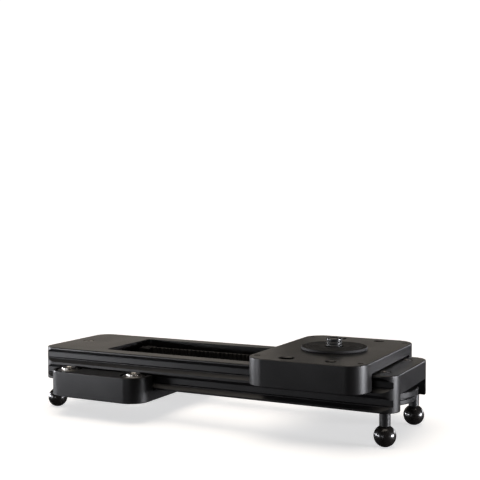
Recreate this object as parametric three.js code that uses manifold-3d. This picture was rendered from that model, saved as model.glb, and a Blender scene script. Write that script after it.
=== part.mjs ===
// Double-travel camera slider: a short rail on four ball feet, a carriage above it
// and a carriage below it, both clamped to one toothed belt loop.
// Units are millimetres, +Z up, rail along X, origin on the ground under the rail's middle.
import * as THREE from 'three';
import { mergeVertices } from 'three/addons/utils/BufferGeometryUtils.js';
import Module from 'manifold-3d';

const wasm = await Module();
wasm.setup();

// ---------------------------------------------------------------- dimensions
const RAIL_L = 233, RAIL_W = 66.5, RAIL_H = 20, RAIL_R = 9;
const GROUND = 18.8;                 // height of the rail's underside above the ground
const EDGE = 0.6;                    // broken edge on the milled parts
const GAP = 0.25;                    // clearance between pieces that sit on each other

// side grooves, as heights above the rail's underside
const GROOVES = [[1.2, 9.4], [10.8, 18.9]];
const GROOVE_D = 2.0;
const SLOT_D = 3.4;                  // a narrower straight slot runs along the bottom of each groove

// window and end recess
const WIN_L = 146, WIN_W = 46.4, WIN_R = 3;
const CHANNEL_W = 48, CHANNEL_TOP = 9.4;

// belt drive
const PULLEY_X = 94.6;
const PITCH_R = 17.19;               // 36 teeth at 3 mm pitch
const BELT_OUT = PITCH_R + 0.89, BELT_IN = PITCH_R - 1.52;
const BELT_Z0 = 8.4, BELT_Z1 = 16.15;
const POCKET_R = 18.9, POCKET_TOP = 17.3;
const AXLE_R = 4;
const FLY_R = 23.7;

// carriages
const CAR_L = 68.4, CAR_W = 98.9, CAR_R = 11.5;
const CAR_TOP = 26.8, CAR_BOT = 11.4, PLATE_BOT = 20.9;
const CAR_IN = 33.95;                // half width between the skirts
const UPPER_X = 69.85, LOWER_X = -66.4;   // where the two carriages stand at rest
const MIRROR_Z = 20.15;              // lower carriage: z -> MIRROR_Z - z
const ROLLER_X = 24, ROLLER_Y = 39.2, ROLLER_Z = 14.85;
const ROLLER_R = 7.55, ROLLER_HT = 3.2, ROLLER_RIM = 2.1;
const POCKET_ROLLER_R = 8.1;
const CLAMP_X0 = -5.6, CLAMP_X1 = 2.2, CLAMP_Y0 = -21.7, CLAMP_Y1 = -10.4;
const CLAMP_SCREWS = [-3.9, 0.7], CLAMP_SCREW_Y = -12.9;
const PAD_R = 19, PAD_T = 1.8;

// feet
const FOOT_X = 109, FOOT_Y = 27.0, BALL_R = 6.0, BALL_Z = -12.8;

// ---------------------------------------------------------------- materials
const mat = (color, roughness, metalness) => new THREE.MeshStandardMaterial({ color, roughness, metalness });
const anodised = mat(0x26262a, 0.45, 0.6);
const anodisedInner = mat(0x1c1c1f, 0.5, 0.5);
const steel = mat(0xb9bbbe, 0.3, 1.0);
const darkSteel = mat(0x3a3b3e, 0.35, 0.9);
const brass = mat(0xb08d4c, 0.35, 1.0);
const rubber = mat(0x17171a, 0.8, 0.0);
const gloss = mat(0x0d0d0f, 0.15, 0.1);

// ---------------------------------------------------------------- helpers
function solid(geometry) {
  let g = geometry.index ? geometry.toNonIndexed() : geometry;
  g = g.clone();
  for (const k of Object.keys(g.attributes)) if (k !== 'position') g.deleteAttribute(k);
  g = mergeVertices(g, 1e-4);
  return new wasm.Manifold(new wasm.Mesh({
    numProp: 3,
    vertProperties: new Float32Array(g.attributes.position.array),
    triVerts: new Uint32Array(g.index.array),
  }));
}
function geometryOf(m) {
  const mesh = m.getMesh();
  const g = new THREE.BufferGeometry();
  g.setAttribute('position', new THREE.BufferAttribute(new Float32Array(mesh.vertProperties), 3));
  g.setIndex(new THREE.BufferAttribute(new Uint32Array(mesh.triVerts), 1));
  g.computeVertexNormals();
  return g;
}
function box(x0, x1, y0, y1, z0, z1) {
  const g = new THREE.BoxGeometry(x1 - x0, y1 - y0, z1 - z0);
  g.translate((x0 + x1) / 2, (y0 + y1) / 2, (z0 + z1) / 2);
  return solid(g);
}
function cyl(r, x, y, z0, z1, seg = 32, r2 = r) {
  const g = new THREE.CylinderGeometry(r2, r, z1 - z0, seg);
  g.rotateX(Math.PI / 2);
  g.translate(x, y, (z0 + z1) / 2);
  return solid(g);
}
function roundedRect(l, w, r) {
  const s = new THREE.Shape();
  const a = l / 2, b = w / 2;
  s.moveTo(-a + r, -b);
  s.lineTo(a - r, -b);
  s.absarc(a - r, -b + r, r, -Math.PI / 2, 0, false);
  s.lineTo(a, b - r);
  s.absarc(a - r, b - r, r, 0, Math.PI / 2, false);
  s.lineTo(-a + r, b);
  s.absarc(-a + r, b - r, r, Math.PI / 2, Math.PI, false);
  s.lineTo(-a, -b + r);
  s.absarc(-a + r, -b + r, r, Math.PI, 1.5 * Math.PI, false);
  return s;
}
// plate with a broken edge all round, top and bottom
function plate(l, w, r, z0, z1, edge, seg = 10) {
  const s = roundedRect(l - 2 * edge, w - 2 * edge, r - edge);
  const g = new THREE.ExtrudeGeometry(s, {
    depth: z1 - z0 - 2 * edge, bevelEnabled: true, bevelThickness: edge, bevelSize: edge,
    bevelSegments: 1, curveSegments: seg,
  });
  g.translate(0, 0, z0 + edge);
  return solid(g);
}
function prism(l, w, r, z0, z1, seg = 6) {
  const g = new THREE.ExtrudeGeometry(roundedRect(l, w, r), { depth: z1 - z0, bevelEnabled: false, curveSegments: seg });
  g.translate(0, 0, z0);
  return solid(g);
}
// ring or solid of revolution about Z at (x, y); points are [radius, z], closed on itself or on the axis
function turned(points, x, y, seg = 32) {
  const g = new THREE.LatheGeometry(points.map(([r, z]) => new THREE.Vector2(r, z)), seg);
  g.rotateX(Math.PI / 2);
  g.translate(x, y, 0);
  return solid(g);
}
const ring = (ro, ri, z0, z1, x, y, seg) => turned([[ri, z0], [ro, z0], [ro, z1], [ri, z1], [ri, z0]], x, y, seg);
// prism along X from a (y, z) outline
function alongX(points, x0, x1) {
  const s = new THREE.Shape(points.map(([y, z]) => new THREE.Vector2(y, z)));
  const g = new THREE.ExtrudeGeometry(s, { depth: x1 - x0, bevelEnabled: false });
  // shape x -> Y, shape y -> Z, depth -> X
  g.applyMatrix4(new THREE.Matrix4().set(0, 0, 1, x0, 1, 0, 0, 0, 0, 1, 0, 0, 0, 0, 0, 1));
  return solid(g);
}
function hexSocket(r, x, y, z0, z1) {
  const g = new THREE.CylinderGeometry(r, r, z1 - z0, 6);
  g.rotateX(Math.PI / 2);
  g.translate(x, y, (z0 + z1) / 2);
  return solid(g);
}

const root = new THREE.Group();
root.name = 'camera_slider';
const rail = new THREE.Group();
// the flywheel stands out past the right end, so the rail sits left of the overall middle
rail.position.set(-(PULLEY_X + FLY_R - RAIL_L / 2) / 2, 0, GROUND);
root.add(rail);
function put(name, m, material, group = rail) {
  const mesh = new THREE.Mesh(m instanceof THREE.BufferGeometry ? m : geometryOf(m), material);
  mesh.name = name;
  group.add(mesh);
  return mesh;
}

// ---------------------------------------------------------------- rail body
{
  let b = plate(RAIL_L, RAIL_W, RAIL_R, 0, RAIL_H, EDGE, 8);
  const f = RAIL_W / 2, d = GROOVE_D, x = RAIL_L / 2 + 5;
  for (const s of [-1, 1]) {
    for (const [z0, z1] of GROOVES) {
      const p = [[s * (f + 1), z0 - 1], [s * (f - d), z0 + d], [s * (f - d), z1 - d], [s * (f + 1), z1 + 1]];
      if (s > 0) p.reverse();
      b = b.subtract(alongX(p, -x, x));
      const yi = s > 0 ? [f - SLOT_D, f - d + 0.35] : [-(f - d + 0.35), -(f - SLOT_D)];
      b = b.subtract(box(-x, x, yi[0], yi[1], z0 + d + 0.25, z1 - d - 0.25));
    }
  }
  b = b.subtract(prism(WIN_L, WIN_W, WIN_R, -1, RAIL_H + 1, 4));
  for (const s of [-1, 1]) {
    const xr = Math.min(s * 68, s * x), xq = Math.max(s * 68, s * x);
    b = b.subtract(box(xr, xq, -CHANNEL_W / 2, CHANNEL_W / 2, -1, CHANNEL_TOP));
    b = b.subtract(cyl(POCKET_R, s * PULLEY_X, 0, 5, POCKET_TOP, 32));
    const xa = Math.min(s * 60, s * PULLEY_X), xb = Math.max(s * 60, s * PULLEY_X);
    b = b.subtract(box(xa, xb, -POCKET_R, POCKET_R, 5, POCKET_TOP));
    b = b.subtract(cyl(2.75, s * PULLEY_X, 0, POCKET_TOP - 1, POCKET_TOP + 1.9, 14));
    for (const t of [-1, 1]) b = b.subtract(cyl(2.15, s * FOOT_X, t * FOOT_Y, -1, 9, 12));
  }
  // countersinks for the deck screws and the plug
  for (const t of [-1, 1]) {
    b = b.subtract(cyl(3.45, 106.5, t * 20.7, RAIL_H - 2.6, RAIL_H + 1, 20));
    b = b.subtract(cyl(2.3, 106.5, t * 20.7, CHANNEL_TOP + 1.2, RAIL_H, 10));
  }
  b = b.subtract(cyl(3.45, -104.6, 0, RAIL_H - 1.6, RAIL_H + 1, 20));
  put('rail_body', b, anodised);
}

// ---------------------------------------------------------------- deck screws and plug
for (const [n, t] of [['front', -1], ['rear', 1]]) {
  let s = cyl(3.2, 106.5, t * 20.7, RAIL_H - 2.3, RAIL_H - 0.15, 20);
  s = s.add(cyl(2.0, 106.5, t * 20.7, CHANNEL_TOP + 1.5, RAIL_H - 2.2, 10));
  s = s.subtract(hexSocket(1.5, 106.5, t * 20.7, RAIL_H - 1.5, RAIL_H + 1));
  put('deck_screw_' + n, s, darkSteel);
}
put('deck_plug', cyl(3.2, -104.6, 0, RAIL_H - 1.35, RAIL_H - 0.15, 20)
  .subtract(hexSocket(1.5, -104.6, 0, RAIL_H - 0.95, RAIL_H + 1)), darkSteel);

// ---------------------------------------------------------------- feet
for (const [nx, s] of [['left', -1], ['right', 1]]) {
  for (const [ny, t] of [['front', -1], ['rear', 1]]) {
    const x = s * FOOT_X, y = t * FOOT_Y;
    const neck = BALL_Z + Math.sqrt(BALL_R ** 2 - 9);
    const stud = turned([[0, BALL_Z + 0.6], [2, BALL_Z + 0.6], [2, neck + 0.1], [3, neck + 0.1], [3, -GAP], [1.9, -GAP], [1.9, 8.7], [0, 8.7]], x, y, 12);
    put(`foot_stud_${nx}_${ny}`, stud, darkSteel);
    const g = new THREE.SphereGeometry(BALL_R, 16, 12);
    g.rotateX(Math.PI / 2);
    g.translate(x, y, -GROUND + BALL_R);
    let ball = solid(g);
    ball = ball.subtract(cyl(4, x, y, neck - 0.15, neck + 4, 12));
    ball = ball.subtract(cyl(2.25, x, y, BALL_Z + 0.3, neck + 1, 10));
    put(`foot_ball_${nx}_${ny}`, ball, gloss);
  }
}

// ---------------------------------------------------------------- belt loop
{
  const loop = (r) => {
    const p = new THREE.Path();
    p.moveTo(-PULLEY_X, -r);
    p.lineTo(PULLEY_X, -r);
    p.absarc(PULLEY_X, 0, r, -Math.PI / 2, Math.PI / 2, false);
    p.lineTo(-PULLEY_X, r);
    p.absarc(-PULLEY_X, 0, r, Math.PI / 2, 1.5 * Math.PI, false);
    return p;
  };
  const s = new THREE.Shape(loop(BELT_OUT).getPoints(16));
  s.holes.push(loop(BELT_IN));
  const g = new THREE.ExtrudeGeometry(s, { depth: BELT_Z1 - BELT_Z0, bevelEnabled: false, curveSegments: 16 });
  g.translate(0, 0, BELT_Z0);
  put('drive_belt', solid(g), rubber);
}

// ---------------------------------------------------------------- pulleys, bushes, axles
for (const [n, s] of [['left', -1], ['right', 1]]) {
  const x = s * PULLEY_X;
  const drum = BELT_IN - 0.35;
  const low = s < 0 ? BELT_OUT + 0.4 : 13.7;     // the flywheel takes the place of the right pulley's lower flange
  put('pulley_' + n, turned([
    [6.3, 7.2], [low, 7.2], [low, 8.1], [drum, 8.1], [drum, BELT_Z1 + 0.25],
    [BELT_OUT + 0.4, BELT_Z1 + 0.25], [BELT_OUT + 0.4, BELT_Z1 + 0.85], [6.3, BELT_Z1 + 0.85], [6.3, 7.2]], x, 0, 28), anodisedInner);
  put('pulley_bush_' + n, ring(6.05, AXLE_R + 0.1, 7.4, BELT_Z1 + 0.6, x, 0, 18), brass);
  put('pulley_axle_' + n, turned([[0, 1.2], [AXLE_R, 1.2], [AXLE_R, POCKET_TOP - GAP],
    [2.5, POCKET_TOP - GAP], [2.5, POCKET_TOP + 1.6], [0, POCKET_TOP + 1.6]], x, 0, 18)
    .subtract(ring(AXLE_R + 1, 2.9, 1.7, 2.3, x, 0, 18)), steel);
  put('axle_clip_' + n, ring(5.4, 3.1, 1.75, 2.25, x, 0, 18).subtract(box(x, x + 8, -1.2, 1.2, 1, 3)), steel);
}
{
  // flywheel below the right pulley: two discs with a narrow groove between them
  const w = turned([
    [7.2, 0.8], [21.9, 0.8], [22.4, 1.3], [22.4, 3.5], [21.0, 3.5], [21.0, 4.5],
    [FLY_R, 4.5], [FLY_R, 7.5], [FLY_R - 0.4, 7.9], [14.0, 7.9], [14.0, 6.9],
    [AXLE_R + 0.35, 6.9], [AXLE_R + 0.35, 2.8], [7.2, 2.8], [7.2, 0.8]], PULLEY_X, 0, 40);
  put('flywheel', w, darkSteel);
}

// ---------------------------------------------------------------- carriages
// Built once in the upper position, then turned over for the lower one.
const NAMES = [['front', -1], ['rear', 1]];
const ENDS = [['left', -1], ['right', 1]];
function carriageSolid(centreHole) {
  let c = plate(CAR_L, CAR_W, CAR_R, CAR_BOT, CAR_TOP, EDGE, 7);
  c = c.subtract(box(-CAR_L, CAR_L, -CAR_IN, CAR_IN, CAR_BOT - 1, PLATE_BOT));
  for (const s of [-1, 1]) for (const t of [-1, 1]) {
    c = c.subtract(cyl(POCKET_ROLLER_R, s * ROLLER_X, t * ROLLER_Y, CAR_BOT - 1, ROLLER_Z + ROLLER_HT + 0.5, 20));
    c = c.subtract(cyl(2.8, s * ROLLER_X, t * ROLLER_Y, ROLLER_Z, 24.6, 10));
  }
  for (const t of [-1, 1]) {
    // accessory threads, 3/8 inch and 1/4 inch
    c = c.subtract(cyl(4.0, -11.8, t * 40, CAR_TOP - 7, CAR_TOP + 1, 16));
    c = c.subtract(cyl(4.0, -11.8, t * 40, CAR_TOP - 0.6, CAR_TOP + 0.2, 16, 4.8));
    c = c.subtract(cyl(2.7, 13.6, t * 40, CAR_TOP - 7, CAR_TOP + 1, 14));
    c = c.subtract(cyl(2.7, 13.6, t * 40, CAR_TOP - 0.5, CAR_TOP + 0.2, 14, 3.4));
    for (const s of [-1, 1]) c = c.subtract(cyl(1.6, s * 30, t * 39.3, CAR_TOP - 1.9, CAR_TOP + 1, 10));
  }
  // centre hole with a seat on the inner side, and countersunk holes for the belt clamp
  c = c.subtract(cyl(centreHole, 0, 0, PLATE_BOT - 1, CAR_TOP + 1, 20));
  c = c.subtract(cyl(9.2, 0, 0, PLATE_BOT - 1, PLATE_BOT + 3.2, 20));
  for (const x of CLAMP_SCREWS) {
    c = c.subtract(cyl(1.45, x, CLAMP_SCREW_Y, PLATE_BOT - 1, CAR_TOP + 1, 10));
    c = c.subtract(cyl(1.45, x, CLAMP_SCREW_Y, CAR_TOP - 1.4, CAR_TOP + 0.01, 10, 2.55));
  }
  return c;
}
function boltSolid(x, y) {
  // head towards the open side of the skirt, thread up into the plate
  const z = CAR_BOT - 1.05;
  let b = turned([[0, z], [3.7, z], [4.2, z + 0.5], [4.2, z + 2.6], [2.5, z + 2.6], [2.5, 24.3], [0, 24.3]], x, y, 12);
  return b.subtract(hexSocket(2.2, x, y, z - 1, z + 1.5));
}
function rollerSolid(x, y) {
  const z = ROLLER_Z, h = ROLLER_HT, e = ROLLER_R - (ROLLER_HT - ROLLER_RIM);
  return turned([[2.75, z - h + 1.75], [4.5, z - h + 1.75], [4.5, z - h], [e, z - h], [ROLLER_R, z - ROLLER_RIM],
    [ROLLER_R, z + ROLLER_RIM], [e, z + h], [2.75, z + h], [2.75, z - h + 1.75]], x, y, 18);
}
function clampSolid(zTop, zBottom, slotLow, slotHigh) {
  const l = CLAMP_X1 - CLAMP_X0, w = CLAMP_Y1 - CLAMP_Y0;
  let k = prism(l, w, 1.2, zBottom, zTop, 3).translate([(CLAMP_X0 + CLAMP_X1) / 2, (CLAMP_Y0 + CLAMP_Y1) / 2, 0]);
  k = k.subtract(box(CLAMP_X0 - 1, CLAMP_X1 + 1, -BELT_OUT - 0.3, -BELT_IN + 0.3, slotLow, slotHigh));
  for (const x of CLAMP_SCREWS) k = k.subtract(cyl(1.4, x, CLAMP_SCREW_Y, zTop - 6.5, zTop + 1, 14));
  return k;
}
for (const [level, low] of [['upper', false], ['lower', true]]) {
  const g = new THREE.Group();
  g.position.x = low ? LOWER_X : UPPER_X;
  if (low) { g.rotation.x = Math.PI; g.position.z = MIRROR_Z; }
  rail.add(g);
  // the lower carriage is turned over, so its local -Y is the rear
  const side = (t) => ((low ? -t : t) < 0 ? 'front' : 'rear');
  put(`carriage_${level}`, carriageSolid(low ? 6.6 : 5.2), anodised, g);
  for (const [nx, s] of ENDS) for (const t of [-1, 1]) {
    put(`roller_${level}_${nx}_${side(t)}`, rollerSolid(s * ROLLER_X, t * ROLLER_Y), steel, g);
    put(`roller_bolt_${level}_${nx}_${side(t)}`, boltSolid(s * ROLLER_X, t * ROLLER_Y), steel, g);
  }
  // belt clamp: a fork over the belt run, the front run on the upper carriage and the rear run on the lower one
  const reach = low ? MIRROR_Z - 16.0 : 8.6;
  const slot = low ? [MIRROR_Z - 17.5, MIRROR_Z - BELT_Z0 + 0.3] : [7, BELT_Z1 + 0.3];
  put(`belt_clamp_${level}`, clampSolid(PLATE_BOT - GAP, reach, slot[0], slot[1]), anodisedInner, g);
  CLAMP_SCREWS.forEach((x, i) => {
    const s = turned([[0, PLATE_BOT - 5.5], [1.15, PLATE_BOT - 5.5], [1.15, CAR_TOP - 1.35], [2.2, CAR_TOP - 0.3], [2.2, CAR_TOP - 0.15], [0, CAR_TOP - 0.15]],
      x, CLAMP_SCREW_Y, 10).subtract(hexSocket(0.8, x, CLAMP_SCREW_Y, CAR_TOP - 1.0, CAR_TOP + 1));
    put(`clamp_screw_${level}_${i ? 'right' : 'left'}`, s, darkSteel, g);
  });
  // four small set screws near the corners of the plate
  for (const [nx, s] of ENDS) for (const t of [-1, 1]) {
    put(`set_screw_${level}_${nx}_${side(t)}`, cyl(1.35, s * 30, t * 39.3, CAR_TOP - 1.65, CAR_TOP - 0.25, 10)
      .subtract(hexSocket(0.7, s * 30, t * 39.3, CAR_TOP - 0.95, CAR_TOP + 1)), darkSteel, g);
  }
  if (low) {
    // tripod bush, held by its flange in the seat on the plate's inner side, open to the underside
    put('tripod_bush', turned([[4.2, PLATE_BOT + 0.1], [8.9, PLATE_BOT + 0.1], [8.9, PLATE_BOT + 2.9], [6.3, PLATE_BOT + 2.9],
      [6.3, CAR_TOP - 0.1], [4.7, CAR_TOP - 0.1], [4.2, CAR_TOP - 0.6], [4.2, PLATE_BOT + 0.1]], 0, 0, 20), steel, g);
  } else {
    put('camera_screw', turned([[0, PLATE_BOT + 0.1], [8.2, PLATE_BOT + 0.1], [8.8, PLATE_BOT + 0.7], [8.8, PLATE_BOT + 2.9], [4.7, PLATE_BOT + 2.9],
      [4.7, CAR_TOP + PAD_T + 4.4], [4.1, CAR_TOP + PAD_T + 5.0], [0, CAR_TOP + PAD_T + 5.0]], 0, 0, 20)
      .subtract(hexSocket(2.9, 0, 0, CAR_TOP + PAD_T + 1.2, CAR_TOP + PAD_T + 6)), steel, g);
    put('camera_pad', turned([[5.2, CAR_TOP + 0.1], [PAD_R - 0.3, CAR_TOP + 0.1], [PAD_R, CAR_TOP + 0.4], [PAD_R, CAR_TOP + PAD_T - 0.4],
      [PAD_R - 0.4, CAR_TOP + PAD_T], [5.2, CAR_TOP + PAD_T], [5.2, CAR_TOP + 0.1]], 0, 0, 36), rubber, g);
  }
}
export default root;
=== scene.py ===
import bpy
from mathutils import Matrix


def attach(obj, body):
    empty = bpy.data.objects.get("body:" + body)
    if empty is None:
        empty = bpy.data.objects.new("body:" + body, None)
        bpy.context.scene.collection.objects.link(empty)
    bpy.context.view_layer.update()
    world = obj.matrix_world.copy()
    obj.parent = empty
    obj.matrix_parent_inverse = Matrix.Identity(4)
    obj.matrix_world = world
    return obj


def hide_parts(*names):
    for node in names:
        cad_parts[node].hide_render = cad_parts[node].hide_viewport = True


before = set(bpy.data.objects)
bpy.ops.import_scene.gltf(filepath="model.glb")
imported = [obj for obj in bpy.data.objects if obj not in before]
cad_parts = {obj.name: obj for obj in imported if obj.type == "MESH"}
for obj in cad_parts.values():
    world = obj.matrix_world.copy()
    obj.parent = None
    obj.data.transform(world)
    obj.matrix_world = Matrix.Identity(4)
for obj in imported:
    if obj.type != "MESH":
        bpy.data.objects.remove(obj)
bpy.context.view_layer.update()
import bpy, bmesh, math
from mathutils import Matrix, Vector

# ------------------------------------------------------------------ dimensions, mm
OX, GROUND = -0.9, 18.8
RAIL_L, RAIL_W, RAIL_H, RAIL_R = 233.0, 66.5, 20.0, 9.0
GROOVES = [(1.2, 9.4), (10.8, 18.9)]
GROOVE_D, SLOT_D = 2.0, 3.4
WIN_L, WIN_W, WIN_R = 146.4, 48.4, 3.0
CHANNEL_W, CHANNEL_TOP = 48.0, 9.4
PULLEY_X, PITCH_R = 94.6, 17.19
BELT_OUT, BELT_IN, BELT_LAND = PITCH_R + 0.89, PITCH_R - 1.52, PITCH_R - 0.38
BELT_Z0, BELT_Z1 = 8.4, 16.15
POCKET_R, POCKET_TOP, AXLE_R, FLY_R = 18.9, 17.3, 4.0, 23.7
CAR_L, CAR_W, CAR_R, CAR_TOP, CAR_BOT, PLATE_BOT, CAR_IN = 68.4, 98.9, 11.5, 26.8, 11.4, 20.9, 33.95
UPPER_X, LOWER_X, MIRROR_Z = 69.85, -66.4, 20.15
ROLLER_X, ROLLER_Y, ROLLER_Z, ROLLER_R, ROLLER_HT, ROLLER_RIM = 24.0, 39.2, 14.85, 7.55, 3.2, 2.1
FOOT_X, FOOT_Y, BALL_R, BALL_Z = 109.0, 27.0, 6.0, -12.8
PAD_R, PAD_T = 19.0, 1.8
CLAMP = (-5.6, 2.2, -21.7, -10.4)
CLAMP_SCREWS, CLAMP_SCREW_Y = (-3.9, 0.7), -12.9
TAU = 2 * math.pi

# ------------------------------------------------------------------ mesh helpers (work in mm)
def obj_from(bm, name="tmp"):
    bmesh.ops.recalc_face_normals(bm, faces=bm.faces)
    me = bpy.data.meshes.new(name)
    bm.to_mesh(me); bm.free()
    o = bpy.data.objects.new(name, me)
    bpy.context.scene.collection.objects.link(o)
    return o

def outline(l, w, r, n=16):
    pts = []
    for cx, cy, a0 in ((l/2-r, -w/2+r, -90), (l/2-r, w/2-r, 0), (-l/2+r, w/2-r, 90), (-l/2+r, -w/2+r, 180)):
        for i in range(n + 1):
            a = math.radians(a0 + 90 * i / n)
            pts.append((cx + r * math.cos(a), cy + r * math.sin(a)))
    return pts

def loft(rings):
    """closed solid from equal rings of (x, y, z), capped at both ends"""
    bm = bmesh.new()
    vs = [[bm.verts.new(p) for p in ring] for ring in rings]
    n = len(vs[0])
    for a, b in zip(vs, vs[1:]):
        for i in range(n):
            bm.faces.new((a[i], a[(i+1) % n], b[(i+1) % n], b[i]))
    bm.faces.new(vs[0][::-1]); bm.faces.new(vs[-1])
    return obj_from(bm)

def plate(l, w, r, z0, z1, edge=0.6, n=16, steps=4):
    prof = []
    for i in range(steps + 1):
        a = math.pi / 2 * i / steps
        prof.append((edge * (1 - math.sin(a)), z0 + edge * (1 - math.cos(a))))
    prof += [(i, z0 + z1 - z) for i, z in reversed(prof)]
    return loft([[(x, y, z) for x, y in outline(l - 2*i, w - 2*i, r - i, n)] for i, z in prof])

def prism(l, w, r, z0, z1, n=10, at=(0, 0)):
    return loft([[(x + at[0], y + at[1], z) for x, y in outline(l, w, r, n)] for z in (z0, z1)])

def box(x0, x1, y0, y1, z0, z1):
    return loft([[(x0, y0, z), (x1, y0, z), (x1, y1, z), (x0, y1, z)] for z in (z0, z1)])

def along_x(pts, x0, x1):
    return loft([[(x, y, z) for y, z in pts] for x in (x0, x1)])

def lathe(pts, x=0.0, y=0.0, n=64, phase=0.0):
    """solid of revolution about Z; pts are (r, z), from axis to axis or a closed ring"""
    bm = bmesh.new()
    axis = pts[0][0] == 0 and pts[-1][0] == 0
    body = pts[1:-1] if axis else pts
    ring = [[bm.verts.new((x + r * math.cos(phase + TAU*i/n), y + r * math.sin(phase + TAU*i/n), z)) for i in range(n)] for r, z in body]
    rows = list(zip(ring, ring[1:])) + ([] if axis else [(ring[-1], ring[0])])
    for a, b in rows:
        for i in range(n):
            bm.faces.new((a[i], a[(i+1) % n], b[(i+1) % n], b[i]))
    if axis:
        for row, (r, z) in ((ring[0], pts[0]), (ring[-1], pts[-1])):
            c = bm.verts.new((x, y, z))
            for i in range(n):
                bm.faces.new((row[i], row[(i+1) % n], c))
    return obj_from(bm)

def cyl(r, x, y, z0, z1, n=48, r2=None):
    r2 = r if r2 is None else r2
    return loft([[(x + q*math.cos(TAU*i/n), y + q*math.sin(TAU*i/n), z) for i in range(n)] for q, z in ((r, z0), (r2, z1))])

def hexp(r, x, y, z0, z1):
    return cyl(r, x, y, z0, z1, 6)

def thread(r_in, r_out, pitch, z0, z1, x=0.0, y=0.0, n=48):
    """cutter or stud with thread crests, as rings"""
    pts, z, k = [(0, z0), (r_in, z0)], z0, 0
    while z + pitch < z1 - 0.2:
        pts += [(r_in, z + pitch*0.1), (r_out, z + pitch*0.45), (r_out, z + pitch*0.6), (r_in, z + pitch*0.95)]
        z += pitch
    pts += [(r_in, z1), (0, z1)]
    return lathe(pts, x, y, n)

def join(objs):
    bm = bmesh.new()
    for o in objs:
        bm.from_mesh(o.data)
        me = o.data; bpy.data.objects.remove(o); bpy.data.meshes.remove(me)
    return obj_from(bm)

def boolean(a, b, op="DIFFERENCE"):
    for solver in ("MANIFOLD", "EXACT"):
        m = a.modifiers.new("b", "BOOLEAN")
        m.object, m.operation, m.solver = b, op, solver
        bpy.context.view_layer.update()
        me = bpy.data.meshes.new_from_object(a.evaluated_get(bpy.context.evaluated_depsgraph_get()))
        a.modifiers.clear()
        if len(me.polygons) > 3 and len(me.polygons) != len(a.data.polygons):
            break
    old = a.data; a.data = me; bpy.data.meshes.remove(old)
    me = b.data; bpy.data.objects.remove(b); bpy.data.meshes.remove(me)
    return a

def cut(a, *bs):
    for b in bs:
        boolean(a, b)
    return a

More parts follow.
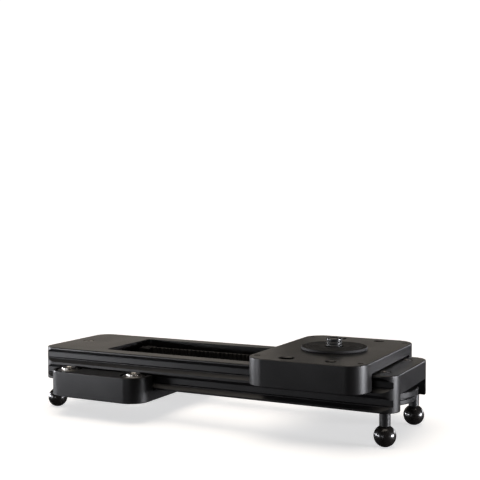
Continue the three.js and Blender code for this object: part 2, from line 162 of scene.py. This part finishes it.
# ------------------------------------------------------------------ materials
def material(name, rgb, rough, metal=0.0, spec=0.5, var=0.25, grain=900.0, bump=0.15, bump_scale=4500.0,
             wear=0.0, wear_rgb=(0.2, 0.2, 0.2), rings=0.0, coat=0.0, coat_rough=0.1, streak=None, rough_var=0.08):
    m = bpy.data.materials.new(name)
    m.use_nodes = True
    nt = m.node_tree; N, L = nt.nodes, nt.links
    N.clear()
    out = N.new("ShaderNodeOutputMaterial"); p = N.new("ShaderNodeBsdfPrincipled")
    L.new(p.outputs[0], out.inputs[0])
    p.inputs["Metallic"].default_value = metal
    p.inputs["Specular IOR Level"].default_value = spec
    p.inputs["Coat Weight"].default_value = coat
    p.inputs["Coat Roughness"].default_value = coat_rough
    co = N.new("ShaderNodeTexCoord")
    mp = N.new("ShaderNodeMapping")
    L.new(co.outputs["Object"], mp.inputs[0])
    if streak: mp.inputs["Scale"].default_value = streak
    big = N.new("ShaderNodeTexNoise"); big.inputs["Scale"].default_value = 38.0; big.inputs["Detail"].default_value = 4
    fine = N.new("ShaderNodeTexNoise"); fine.inputs["Scale"].default_value = grain; fine.inputs["Detail"].default_value = 3
    L.new(co.outputs["Object"], big.inputs[0]); L.new(mp.outputs[0], fine.inputs[0])
    mix = N.new("ShaderNodeMath"); mix.operation = "MULTIPLY_ADD"
    L.new(fine.outputs[0], mix.inputs[0]); mix.inputs[1].default_value = 0.6
    sc = N.new("ShaderNodeMath"); sc.operation = "MULTIPLY"; L.new(big.outputs[0], sc.inputs[0]); sc.inputs[1].default_value = 0.4
    L.new(sc.outputs[0], mix.inputs[2])
    ramp = N.new("ShaderNodeValToRGB")
    lo = [c * (1 - var) for c in rgb]; hi = [c * (1 + var) for c in rgb]
    ramp.color_ramp.elements[0].position, ramp.color_ramp.elements[1].position = 0.36, 0.64
    ramp.color_ramp.elements[0].color, ramp.color_ramp.elements[1].color = (*lo, 1), (*hi, 1)
    L.new(mix.outputs[0], ramp.inputs[0])
    colour = ramp.outputs[0]
    rr = N.new("ShaderNodeMapRange")
    L.new(mix.outputs[0], rr.inputs[0])
    rr.inputs[1].default_value, rr.inputs[2].default_value = 0.36, 0.64
    rr.inputs[3].default_value, rr.inputs[4].default_value = rough - rough_var, rough + rough_var
    roughness = rr.outputs[0]
    if wear > 0:
        bev = N.new("ShaderNodeBevel"); bev.samples = 4; bev.inputs[0].default_value = 0.00022
        geo = N.new("ShaderNodeNewGeometry")
        dot = N.new("ShaderNodeVectorMath"); dot.operation = "DOT_PRODUCT"
        L.new(bev.outputs[0], dot.inputs[0]); L.new(geo.outputs["Normal"], dot.inputs[1])
        mr = N.new("ShaderNodeMapRange"); L.new(dot.outputs["Value"], mr.inputs[0])
        mr.inputs[1].default_value, mr.inputs[2].default_value = 0.995, 0.86
        mr.inputs[3].default_value, mr.inputs[4].default_value = 0.0, 1.0
        mask = N.new("ShaderNodeMath"); mask.operation = "MULTIPLY"
        L.new(mr.outputs[0], mask.inputs[0])
        patch = N.new("ShaderNodeMapRange"); L.new(big.outputs[0], patch.inputs[0])
        patch.inputs[1].default_value, patch.inputs[2].default_value = 0.35, 0.65
        patch.inputs[3].default_value, patch.inputs[4].default_value = wear * 0.4, wear
        L.new(patch.outputs[0], mask.inputs[1])
        mc = N.new("ShaderNodeMix"); mc.data_type = "RGBA"
        L.new(mask.outputs[0], mc.inputs[0]); L.new(colour, mc.inputs[6]); mc.inputs[7].default_value = (*wear_rgb, 1)
        colour = mc.outputs[2]
    L.new(colour, p.inputs["Base Color"]); L.new(roughness, p.inputs["Roughness"])
    b = N.new("ShaderNodeBump"); b.inputs["Strength"].default_value = bump; b.inputs["Distance"].default_value = 0.0001
    bn = N.new("ShaderNodeTexNoise"); bn.inputs["Scale"].default_value = bump_scale; bn.inputs["Detail"].default_value = 2
    L.new(mp.outputs[0], bn.inputs[0]); height = bn.outputs[0]
    if rings > 0:
        wv = N.new("ShaderNodeTexWave"); wv.wave_type = "RINGS"; wv.rings_direction = "Z"
        wv.inputs["Scale"].default_value = rings; wv.inputs["Distortion"].default_value = 0.6; wv.inputs["Detail Scale"].default_value = 2
        L.new(co.outputs["Object"], wv.inputs[0])
        add = N.new("ShaderNodeMath"); add.operation = "ADD"
        L.new(bn.outputs[0], add.inputs[0]); L.new(wv.outputs["Fac"], add.inputs[1]); height = add.outputs[0]
    L.new(height, b.inputs["Height"]); L.new(b.outputs[0], p.inputs["Normal"])
    return m

M = {
 "black_anodised": material("anodised", (0.0066, 0.0062, 0.0064), 0.355, spec=0.42, rough_var=0.05, var=0.18, grain=2600, bump=0.16, bump_scale=5200, wear=0.35, wear_rgb=(0.075, 0.073, 0.074)),
 "black_anodised_inner": material("anodised_inner", (0.006, 0.006, 0.0063), 0.46, spec=0.4, var=0.2, grain=1800, bump=0.2, bump_scale=3800, rings=420, wear=0.25, wear_rgb=(0.07, 0.07, 0.07)),
 "flywheel": material("turned_black", (0.009, 0.0086, 0.0086), 0.38, spec=0.26, var=0.2, grain=1500, bump=0.2, bump_scale=3500, rings=520, wear=0.22, wear_rgb=(0.05, 0.048, 0.046)),
 "bright_steel": material("bright_steel", (0.60, 0.575, 0.54), 0.24, metal=1.0, var=0.12, grain=1400, bump=0.14, bump_scale=3000, rings=600, wear=0.3, wear_rgb=(0.75, 0.74, 0.72)),
 "roller_steel": material("roller_steel", (0.42, 0.41, 0.40), 0.28, metal=1.0, var=0.14, grain=1600, bump=0.12, bump_scale=3200, rings=700, wear=0.3, wear_rgb=(0.6, 0.6, 0.6)),
 "roller_shield": material("roller_shield", (0.20, 0.185, 0.165), 0.36, metal=1.0, var=0.2, grain=1500, bump=0.15, bump_scale=3200, rings=640),
 "black_steel": material("black_oxide", (0.009, 0.009, 0.0095), 0.36, spec=0.55, var=0.25, grain=2000, bump=0.18, bump_scale=4200, wear=0.5, wear_rgb=(0.12, 0.12, 0.12)),
 "screw_steel": material("screw_steel", (0.21, 0.20, 0.19), 0.30, metal=1.0, var=0.25, grain=1800, bump=0.2, bump_scale=3800, wear=0.8, wear_rgb=(0.42, 0.41, 0.40)),
 "bronze": material("sintered_bronze", (0.34, 0.21, 0.10), 0.45, metal=1.0, var=0.3, grain=3200, bump=0.3, bump_scale=6000),
 "belt_rubber": material("belt_rubber", (0.016, 0.0155, 0.0145), 0.44, spec=0.75, var=0.3, grain=2400, bump=0.35, bump_scale=3600),
 "pad_rubber": material("pad_rubber", (0.0085, 0.0083, 0.0085), 0.70, spec=0.3, var=0.25, grain=1800, bump=0.5, bump_scale=2600),
 "gloss_black": material("gloss_black", (0.0085, 0.0074, 0.0068), 0.25, spec=0.55, var=0.35, grain=700, bump=0.05, bump_scale=1600, coat=0.12, coat_rough=0.12, rough_var=0.04),
}

# ------------------------------------------------------------------ placing finished pieces
U = Matrix.Translation((UPPER_X, 0, 0))
LO = Matrix.Translation((LOWER_X, 0, MIRROR_Z)) @ Matrix.Rotation(math.pi, 4, "X")
I = Matrix.Identity(4)
MM = Matrix.Scale(0.001, 4) @ Matrix.Translation((OX, 0, GROUND))

def finish_piece(o, name, nodes, body, slot, mat=None, centre=(0, 0, 0), place=I, bevel=0.12, angle=38, flat=False):
    """mm mesh in rail or carriage coordinates -> piece in metres with its origin at centre"""
    bm = bmesh.new(); bm.from_mesh(o.data)
    bmesh.ops.remove_doubles(bm, verts=bm.verts, dist=0.002)
    bmesh.ops.dissolve_limit(bm, angle_limit=math.radians(0.35), verts=bm.verts, edges=bm.edges, delimit=set())
    bmesh.ops.recalc_face_normals(bm, faces=bm.faces)
    w = MM @ place
    c = w @ Vector(centre)
    bm.transform(Matrix.Translation(-c) @ w)
    bm.to_mesh(o.data); bm.free()
    o.name = o.data.name = name
    o.location = c
    o.data.materials.clear(); o.data.materials.append(M[mat or slot])
    o.data.polygons.foreach_set("use_smooth", [not flat] * len(o.data.polygons))
    o.data.set_sharp_from_angle(angle=math.radians(angle))
    if bevel:
        b = o.modifiers.new("bevel", "BEVEL")
        b.width, b.segments, b.limit_method, b.angle_limit = bevel / 1000, 2, "ANGLE", math.radians(angle)
        b.use_clamp_overlap, b.harden_normals = True, False
    wn = o.modifiers.new("wn", "WEIGHTED_NORMAL"); wn.keep_sharp = not bevel; wn.weight = 80
    bpy.context.view_layer.update()
    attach(o, body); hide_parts(*nodes)
    return o

# ------------------------------------------------------------------ rail body
def rail_body():
    b = plate(RAIL_L, RAIL_W, RAIL_R, 0, RAIL_H, 0.6, 24, 4)
    f, d, x = RAIL_W / 2, GROOVE_D, RAIL_L / 2 + 5
    for s in (-1, 1):
        for z0, z1 in GROOVES:
            pts = [(s*(f+1), z0-1), (s*(f-d), z0+d), (s*(f-d), z0+d+0.25), (s*(f-SLOT_D+0.4), z0+d+0.25), (s*(f-SLOT_D), z0+d+0.65),
                   (s*(f-SLOT_D), z1-d-0.65), (s*(f-SLOT_D+0.4), z1-d-0.25), (s*(f-d), z1-d-0.25), (s*(f-d), z1-d), (s*(f+1), z1+1)]
            cut(b, along_x(pts, -x, x))
    cut(b, prism(WIN_L, WIN_W, WIN_R, -1, RAIL_H + 1, 12))
    for s in (-1, 1):
        cut(b, box(min(s*68, s*x), max(s*68, s*x), -CHANNEL_W/2, CHANNEL_W/2, -1, CHANNEL_TOP))
        cut(b, cyl(POCKET_R, s*PULLEY_X, 0, 5, POCKET_TOP, 96))
        cut(b, box(min(s*60, s*PULLEY_X), max(s*60, s*PULLEY_X), -POCKET_R, POCKET_R, 5, POCKET_TOP))
        cut(b, cyl(2.75, s*PULLEY_X, 0, POCKET_TOP-1, POCKET_TOP+1.9, 40))
        for t in (-1, 1):
            cut(b, lathe([(0, -1), (2.6, -1), (2.6, 0), (2.15, 0.45), (2.15, 9), (0, 9)], s*FOOT_X, t*FOOT_Y, 40))
    for t in (-1, 1):
        cut(b, lathe([(0, 10.6), (2.3, 10.6), (2.3, RAIL_H-2.6), (3.45, RAIL_H-2.6), (3.45, RAIL_H-0.25), (3.75, RAIL_H+0.05), (3.75, RAIL_H+1), (0, RAIL_H+1)], 106.5, t*20.7, 56))
    cut(b, lathe([(0, RAIL_H-1.6), (3.45, RAIL_H-1.6), (3.45, RAIL_H-0.25), (3.75, RAIL_H+0.05), (3.75, RAIL_H+1), (0, RAIL_H+1)], -104.6, 0, 56))
    finish_piece(b, "rail_body_fine", ["rail_body"], "rail", "black_anodised", bevel=0.2)

def socket_screw(r, x, y, z_top, head, hexr, hexd, shank_r, z_low, n=48, c=0.3):
    pts = [(0, z_low), (shank_r - 0.25, z_low), (shank_r, z_low + 0.3), (shank_r, z_top - head), (r, z_top - head), (r, z_top - c), (r - c, z_top), (0, z_top)]
    s = lathe(pts, x, y, n)
    return cut(s, hexp(hexr, x, y, z_top - hexd, z_top + 1), cyl(hexr*0.86 + 0.28, x, y, z_top - 0.22, z_top + 1, 36, hexr*0.86 + 1.0))

rail_body()
for nm, t in (("front", -1), ("rear", 1)):
    finish_piece(socket_screw(3.2, 106.5, t*20.7, RAIL_H-0.15, 2.15, 1.5, 1.35, 2.0, 11.0), "deck_screw_%s_fine" % nm, ["deck_screw_" + nm], "rail", "black_steel", mat="screw_steel", centre=(106.5, t*20.7, 18), bevel=0.06)
plug = lathe([(0, 18.65), (3.2, 18.65), (3.2, 19.6), (2.95, 19.85), (0, 19.85)], -104.6, 0, 48)
finish_piece(cut(plug, hexp(1.5, -104.6, 0, 19.05, 21)), "deck_plug_fine", ["deck_plug"], "rail", "black_steel", mat="screw_steel", centre=(-104.6, 0, 19), bevel=0.06)

# ------------------------------------------------------------------ feet
for nx, s in (("left", -1), ("right", 1)):
    for ny, t in (("front", -1), ("rear", 1)):
        x, y = s*FOOT_X, t*FOOT_Y
        neck = BALL_Z + math.sqrt(BALL_R**2 - 9)
        stud = lathe([(0, BALL_Z+0.6), (2, BALL_Z+0.6), (2, neck+0.1), (2.7, neck+0.1), (3, neck+0.4), (3, -0.75), (2.6, -0.25), (1.9, -0.25), (1.9, 8.4), (1.65, 8.7), (0, 8.7)], x, y, 48)
        finish_piece(stud, "foot_stud_%s_%s_fine" % (nx, ny), ["foot_stud_%s_%s" % (nx, ny)], "rail", "black_steel", centre=(x, y, -4), bevel=0)
        n = 28
        pts = [(0, BALL_Z - BALL_R)]
        a_end = math.acos(3.15 / BALL_R)
        for i in range(1, n + 1):
            a = -math.pi/2 + (math.pi/2 + a_end) * i / n
            pts.append((BALL_R*math.cos(a), BALL_Z + BALL_R*math.sin(a)))
        zt = pts[-1][1]
        pts += [(3.0, zt + 0.02), (2.3, zt - 0.2), (2.25, BALL_Z + 0.3), (0, BALL_Z + 0.3)]
        finish_piece(lathe(pts, x, y, 64), "foot_ball_%s_%s_fine" % (nx, ny), ["foot_ball_%s_%s" % (nx, ny)], "rail", "gloss_black", centre=(x, y, BALL_Z), bevel=0, angle=50)

# ------------------------------------------------------------------ belt with its teeth
def belt():
    straight, arc = 2*PULLEY_X, math.pi*PITCH_R
    total = 2*(straight + arc)
    teeth = round(total / 3.0); per = 10; n = teeth*per
    bm = bmesh.new(); rings = []
    for i in range(n):
        u = total*i/n
        if u < straight: p, nrm = Vector((-PULLEY_X + u, 0)), Vector((0, -1))
        elif u < straight + arc:
            a = -math.pi/2 + (u - straight)/PITCH_R; p, nrm = Vector((PULLEY_X, 0)), Vector((math.cos(a), math.sin(a)))
        elif u < 2*straight + arc: p, nrm = Vector((PULLEY_X - (u - straight - arc), 0)), Vector((0, 1))
        else:
            a = math.pi/2 + (u - 2*straight - arc)/PITCH_R; p, nrm = Vector((-PULLEY_X, 0)), Vector((math.cos(a), math.sin(a)))
        ph = (i % per)/per
        k = abs(ph - 0.5)*2                       # 0 at the tooth's middle
        h = 1.0 if k < 0.36 else (0.93 if k < 0.5 else (0.5 if k < 0.62 else 0.0))
        inner = BELT_LAND - (BELT_LAND - BELT_IN)*h
        prof = [(BELT_OUT, BELT_Z0+0.25), (BELT_OUT, BELT_Z1-0.25), (BELT_OUT-0.25, BELT_Z1), (inner+0.12, BELT_Z1), (inner, BELT_Z1-0.12), (inner, BELT_Z0+0.12), (inner+0.12, BELT_Z0), (BELT_OUT-0.25, BELT_Z0)]
        rings.append([bm.verts.new((p.x + nrm.x*r, p.y + nrm.y*r, z)) for r, z in prof])
    m = len(rings[0])
    for i in range(n):
        a, b = rings[i], rings[(i+1) % n]
        for j in range(m):
            bm.faces.new((a[j], a[(j+1) % m], b[(j+1) % m], b[j]))
    finish_piece(obj_from(bm), "drive_belt_fine", ["drive_belt"], "rail", "belt_rubber", bevel=0, angle=30)
belt()

# ------------------------------------------------------------------ pulleys, axles, flywheel
for nm, s in (("left", -1), ("right", 1)):
    x = s*PULLEY_X; drum = BELT_IN - 0.35; low = BELT_OUT + 0.4 if s < 0 else 13.7; zt = BELT_Z1
    body = nm + "_pulley"
    finish_piece(lathe([(6.3, 7.2), (low-0.25, 7.2), (low, 7.45), (low, 8.0), (drum, 8.1), (drum, zt+0.25), (BELT_OUT+0.4, zt+0.35), (BELT_OUT+0.4, zt+0.7), (BELT_OUT+0.25, zt+0.85), (6.3, zt+0.85)], x, 0, 128),
                 "pulley_%s_fine" % nm, ["pulley_" + nm], body, "black_anodised_inner", centre=(x, 0, 12), bevel=0.05)
    finish_piece(lathe([(AXLE_R+0.1, 7.4), (6.05, 7.4), (6.05, zt+0.6), (AXLE_R+0.1, zt+0.6)], x, 0, 72), "pulley_bush_%s_fine" % nm, ["pulley_bush_" + nm], body, "bronze", centre=(x, 0, 12), bevel=0.08)
    finish_piece(lathe([(0, 1.2), (3.6, 1.2), (4, 1.5), (4, 1.7), (2.95, 1.7), (2.95, 2.3), (4, 2.3), (4, POCKET_TOP-0.25), (2.5, POCKET_TOP-0.25), (2.5, POCKET_TOP+1.6), (0, POCKET_TOP+1.6)], x, 0, 56),
                 "pulley_axle_%s_fine" % nm, ["pulley_axle_" + nm], "rail", "bright_steel", centre=(x, 0, 8), bevel=0.05)
    clip = lathe([(3.1, 1.78), (5.4, 1.78), (5.4, 2.22), (3.1, 2.22)], x, 0, 56)
    finish_piece(cut(clip, box(x, x+8, -1.2, 1.2, 1, 3)), "axle_clip_%s_fine" % nm, ["axle_clip_" + nm], "rail", "bright_steel", centre=(x, 0, 2), bevel=0.04)

fly = lathe([(7.2, 0.8), (21.9, 0.8), (22.4, 1.3), (22.4, 3.3), (22.2, 3.5), (21.0, 3.5), (21.0, 4.5), (FLY_R-0.3, 4.5), (FLY_R, 4.8), (FLY_R, 7.5),
             (FLY_R-0.4, 7.9), (14.0, 7.9), (14.0, 6.9), (AXLE_R+0.35, 6.9), (AXLE_R+0.35, 2.8), (7.2, 2.8)], PULLEY_X, 0, 160)
finish_piece(fly, "flywheel_fine", ["flywheel"], "right_pulley", "black_steel", mat="flywheel", centre=(PULLEY_X, 0, 4), bevel=0.08)

# ------------------------------------------------------------------ carriages
def carriage(hole):
    c = plate(CAR_L, CAR_W, CAR_R, CAR_BOT, CAR_TOP, 0.6, 28, 5)
    cut(c, box(-CAR_L, CAR_L, -CAR_IN, CAR_IN, CAR_BOT - 1, PLATE_BOT))
    for s in (-1, 1):
        for t in (-1, 1):
            cut(c, cyl(8.1, s*ROLLER_X, t*ROLLER_Y, CAR_BOT-1, ROLLER_Z+ROLLER_HT+0.5, 96))
            cut(c, cyl(2.8, s*ROLLER_X, t*ROLLER_Y, ROLLER_Z, 24.6, 32))
            cut(c, lathe([(0, CAR_TOP-1.9), (1.6, CAR_TOP-1.9), (1.6, CAR_TOP-0.15), (1.85, CAR_TOP+0.1), (1.85, CAR_TOP+1), (0, CAR_TOP+1)], s*30, t*39.3, 36))
    for t in (-1, 1):
        cut(c, thread(4.05, 4.6, 1.59, CAR_TOP-7, CAR_TOP+1, -11.8, t*40, 56), cyl(4.0, -11.8, t*40, CAR_TOP-0.7, CAR_TOP+0.2, 56, 4.9))
        cut(c, thread(2.75, 3.15, 1.27, CAR_TOP-7, CAR_TOP+1, 13.6, t*40, 48), cyl(2.7, 13.6, t*40, CAR_TOP-0.6, CAR_TOP+0.2, 48, 3.5))
    cut(c, cyl(hole, 0, 0, PLATE_BOT-1, CAR_TOP+1, 72), cyl(9.2, 0, 0, PLATE_BOT-1, PLATE_BOT+3.2, 72))
    for x in CLAMP_SCREWS:
        cut(c, cyl(1.45, x, CLAMP_SCREW_Y, PLATE_BOT-1, CAR_TOP+1, 32), cyl(1.45, x, CLAMP_SCREW_Y, CAR_TOP-1.4, CAR_TOP+0.01, 40, 2.5))
    return c

def roller(x, y, place, name, node, body):
    z, h, R = ROLLER_Z, ROLLER_HT, ROLLER_R
    e = R - (h - ROLLER_RIM)
    ring = lathe([(2.75, z-h+1.75), (4.5, z-h+1.75), (4.5, z-h+0.15), (4.65, z-h), (e, z-h), (R-0.12, z-ROLLER_RIM-0.12), (R, z-ROLLER_RIM+0.1), (R, z+ROLLER_RIM-0.1),
                  (R-0.12, z+ROLLER_RIM+0.12), (e, z+h), (5.6, z+h), (5.5, z+h-0.25), (3.9, z+h-0.25), (3.8, z+h), (2.75, z+h)], x, y, 96)
    finish_piece(ring, name, [node], body, "roller_steel", centre=(x, y, z), place=place, bevel=0.04)

def bolt(x, y, place, name, node, body):
    z = CAR_BOT - 1.05
    b = lathe([(0, z), (3.75, z), (4.05, z+0.12), (4.2, z+0.5), (4.2, z+2.5), (4.1, z+2.6), (2.5, z+2.6), (2.5, 24.0), (2.2, 24.3), (0, 24.3)], x, y, 72)
    cut(b, hexp(2.2, x, y, z-1, z+1.5), cyl(2.9, x, y, z-0.5, z+0.28, 40, 1.95))
    finish_piece(b, name, [node], body, "bright_steel", centre=(x, y, z+1), place=place, bevel=0.05)

for lev, place in (("upper", U), ("lower", LO)):
    low = lev == "lower"
    cb = lev + "_carriage"
    finish_piece(carriage(6.6 if low else 5.2), "carriage_%s_fine" % lev, ["carriage_" + lev], cb, "black_anodised", centre=(0, 0, 19), place=place, bevel=0.15)
    for nx, s in (("left", -1), ("right", 1)):
        for t in (-1, 1):
            ny = ("front" if (-t if low else t) < 0 else "rear")
            tag = "%s_%s_%s" % (lev, nx, ny)
            x, y = s*ROLLER_X, t*ROLLER_Y
            roller(x, y, place, "roller_%s_fine" % tag, "roller_" + tag, "%s_roller_%s_%s" % (lev, nx, ny))
            bolt(x, y, place, "roller_bolt_%s_fine" % tag, "roller_bolt_" + tag, cb)
            g = lathe([(0, CAR_TOP-1.65), (1.35, CAR_TOP-1.65), (1.35, CAR_TOP-0.4), (1.2, CAR_TOP-0.25), (0, CAR_TOP-0.25)], s*30, t*39.3, 32)
            cut(g, hexp(0.72, s*30, t*39.3, CAR_TOP-1.1, CAR_TOP+1))
            finish_piece(g, "set_screw_%s_fine" % tag, ["set_screw_" + tag], cb, "black_steel", mat="screw_steel", centre=(s*30, t*39.3, CAR_TOP-1), place=place, bevel=0)
    x0, x1, y0, y1 = CLAMP
    zb = MIRROR_Z - 16.0 if low else 8.6
    sl = (MIRROR_Z - 17.5, MIRROR_Z - BELT_Z0 + 0.3) if low else (7, BELT_Z1 + 0.3)
    k = prism(x1-x0, y1-y0, 1.2, zb, PLATE_BOT-0.25, 8, ((x0+x1)/2, (y0+y1)/2))
    cut(k, box(x0-1, x1+1, -BELT_OUT-0.3, -BELT_IN+0.3, *sl))
    for x in CLAMP_SCREWS: cut(k, cyl(1.4, x, CLAMP_SCREW_Y, PLATE_BOT-6.75, PLATE_BOT+1, 32))
    finish_piece(k, "belt_clamp_%s_fine" % lev, ["belt_clamp_" + lev], cb, "black_anodised_inner", centre=(-1.7, -16, 15), place=place, bevel=0.3)
    for i, x in enumerate(CLAMP_SCREWS):
        sc = lathe([(0, PLATE_BOT-5.5), (1.15, PLATE_BOT-5.5), (1.15, CAR_TOP-1.35), (2.2, CAR_TOP-0.3), (2.2, CAR_TOP-0.15), (0, CAR_TOP-0.15)], x, CLAMP_SCREW_Y, 40)
        cut(sc, hexp(0.8, x, CLAMP_SCREW_Y, CAR_TOP-1.0, CAR_TOP+1))
        nd = "clamp_screw_%s_%s" % (lev, "right" if i else "left")
        finish_piece(sc, nd + "_fine", [nd], cb, "black_steel", centre=(x, CLAMP_SCREW_Y, CAR_TOP-1), place=place, bevel=0)
    if low:
        b = lathe([(4.2, PLATE_BOT+0.1), (8.9, PLATE_BOT+0.1), (8.9, PLATE_BOT+2.9), (6.3, PLATE_BOT+2.9), (6.3, CAR_TOP-0.2), (6.2, CAR_TOP-0.1), (4.8, CAR_TOP-0.1), (4.2, CAR_TOP-0.7)]
                  + [(r, CAR_TOP - 0.7 - k*1.0 - d) for k in range(4) for r, d in ((4.2, 0.2), (4.6, 0.45), (4.6, 0.6), (4.2, 0.85))], 0, 0, 72)
        finish_piece(b, "tripod_bush_fine", ["tripod_bush"], cb, "bright_steel", centre=(0, 0, 24), place=place, bevel=0.04)
    else:
        top = CAR_TOP + PAD_T + 5.0
        pts = [(0, PLATE_BOT+0.1), (8.2, PLATE_BOT+0.1), (8.8, PLATE_BOT+0.7), (8.8, PLATE_BOT+2.9), (4.7, PLATE_BOT+2.9)]
        z = CAR_TOP - 1.0
        while z + 1.59 < top - 0.6:
            pts += [(4.7, z), (4.7, z+0.2), (4.1, z+0.75), (4.1, z+0.95), (4.7, z+1.5)]
            z += 1.59
        pts += [(4.7, top-0.6), (4.1, top), (0, top)]
        cs = lathe(pts, 0, 0, 72)
        cut(cs, hexp(2.9, 0, 0, CAR_TOP+PAD_T+1.2, top+1))
        finish_piece(cs, "camera_screw_fine", ["camera_screw"], cb, "black_steel", centre=(0, 0, 28), place=place, bevel=0.04)
        zt = CAR_TOP + PAD_T
        pp = [(5.2, CAR_TOP+0.1), (PAD_R-0.3, CAR_TOP+0.1), (PAD_R, CAR_TOP+0.4), (PAD_R, zt-0.4), (PAD_R-0.12, zt-0.12), (PAD_R-0.4, zt)]
        r = PAD_R - 1.6
        while r > 8.0:
            pp += [(r+0.28, zt), (r+0.12, zt-0.3), (r-0.12, zt-0.3), (r-0.28, zt)]
            r -= 1.9
        pp += [(5.5, zt), (5.2, zt-0.3)]
        finish_piece(lathe(pp, 0, 0, 128), "camera_pad_fine", ["camera_pad"], cb, "pad_rubber", centre=(0, 0, zt), place=place, bevel=0)

# ------------------------------------------------------------------ floor, lights, camera
def sweep_floor():
    """a round paper sweep: flat near the object, curving up to a wall on every side"""
    bm = bmesh.new(); n = 96
    prof = [(0.6, 0.0), (1.6, 0.0), (3.0, 0.0)] + [(3.0 + 1.6*math.sin(a), 1.6 - 1.6*math.cos(a)) for a in [math.pi/2*i/14 for i in range(1, 15)]] + [(4.6, 7.0)]
    rows = [[bm.verts.new((r*math.cos(TAU*i/n), r*math.sin(TAU*i/n), z)) for i in range(n)] for r, z in prof]
    bm.faces.new(rows[0])
    for a, b in zip(rows, rows[1:]):
        for i in range(n): bm.faces.new((a[i], b[i], b[(i+1) % n], a[(i+1) % n]))
    me = bpy.data.meshes.new("floor"); bm.to_mesh(me); bm.free()
    o = bpy.data.objects.new("floor", me); bpy.context.scene.collection.objects.link(o)
    o.data.polygons.foreach_set("use_smooth", [True]*len(o.data.polygons))
    m = bpy.data.materials.new("floor"); m.use_nodes = True
    N, L = m.node_tree.nodes, m.node_tree.links
    p = N["Principled BSDF"]
    p.inputs["Base Color"].default_value = (0.86, 0.86, 0.86, 1); p.inputs["Roughness"].default_value = 0.9
    p.inputs["Specular IOR Level"].default_value = 0.1
    p.inputs["Emission Color"].default_value = (1, 1, 1, 1)
    # the backdrop behind the floor glows a little more, as a lit paper sweep does
    tc, ln, mr = N.new("ShaderNodeTexCoord"), N.new("ShaderNodeVectorMath"), N.new("ShaderNodeMapRange")
    ln.operation = "LENGTH"
    L.new(tc.outputs["Object"], ln.inputs[0]); L.new(ln.outputs["Value"], mr.inputs[0])
    mr.inputs[1].default_value, mr.inputs[2].default_value, mr.inputs[3].default_value, mr.inputs[4].default_value = 0.30, 1.6, 0.56, 0.97
    L.new(mr.outputs[0], p.inputs["Emission Strength"])
    o.data.materials.append(m)
    o.visible_glossy = o.visible_diffuse = False
sweep_floor()

def area(name, loc, target, size, power, colour=(1, 1, 1)):
    l = bpy.data.lights.new(name, "AREA"); l.shape = "RECTANGLE"
    l.size, l.size_y = size; l.energy = power; l.color = colour
    o = bpy.data.objects.new(name, l); bpy.context.scene.collection.objects.link(o)
    o.location = loc
    o.rotation_euler = (Vector(target) - Vector(loc)).to_track_quat("-Z", "Y").to_euler()
    return o
COOL, WARM = (0.945, 0.95, 1.0), (1.0, 0.91, 0.81)
area("box_left", (-0.58, -0.57, 0.045), (-0.06, 0, 0.02), (0.24, 0.07), 2.35, COOL)
area("box_side", (-1.25, -0.06, 0.06), (0, 0, 0.02), (0.7, 0.10), 15, COOL)
area("front_fill", (-0.02, -0.95, 0.06), (0.07, 0, 0.02), (0.30, 0.10), 0.5, COOL)
area("box_right", (1.24, 0.22, 0.055), (0.08, 0, 0.02), (0.50, 0.10), 26, COOL)
area("box_back", (-1.58, 1.78, 0.60), (0, 0, 0.03), (1.5, 0.6), 2.05, WARM)
area("box_back_mid", (-0.60, 2.09, 0.42), (0.08, 0, 0.03), (0.40, 0.34), 0.30, WARM)
area("box_back_right", (0.75, 1.5, 0.16), (0.1, 0, 0.02), (0.7, 0.28), 4.7, COOL)
area("top_soft", (-0.2, -0.1, 2.2), (0, 0, 0), (2.2, 2.2), 33, WARM)

w = bpy.data.worlds.new("studio"); bpy.context.scene.world = w; w.use_nodes = True
wn = w.node_tree; bg = wn.nodes["Background"]
bg.inputs[0].default_value = (1, 1, 1, 1); bg.inputs[1].default_value = 0.024
bpy.context.scene.view_settings.view_transform = "Standard"

F, YAW, PITCH, ROLL = 881.1218, math.radians(27.29989), math.radians(1.9900), math.radians(-0.154439)
fwd = Vector((-math.sin(YAW)*math.cos(PITCH), math.cos(YAW)*math.cos(PITCH), -math.sin(PITCH)))
right = Vector((math.cos(YAW), math.sin(YAW), 0)); up = right.cross(fwd)
c, s = math.cos(ROLL), math.sin(ROLL)
r2, u2 = right*c + up*s, -right*s + up*c
cam = bpy.data.cameras.new("cam"); co = bpy.data.objects.new("cam", cam)
bpy.context.scene.collection.objects.link(co)
cam.lens, cam.sensor_width = F*36/480, 36.0
cam.clip_start, cam.clip_end = 0.01, 50
co.matrix_world = Matrix(((r2.x, u2.x, -fwd.x, (253.321+OX)/1000), (r2.y, u2.y, -fwd.y, -0.4732776), (r2.z, u2.z, -fwd.z, (107.2046+GROUND)/1000), (0, 0, 0, 1)))
bpy.context.scene.camera = co
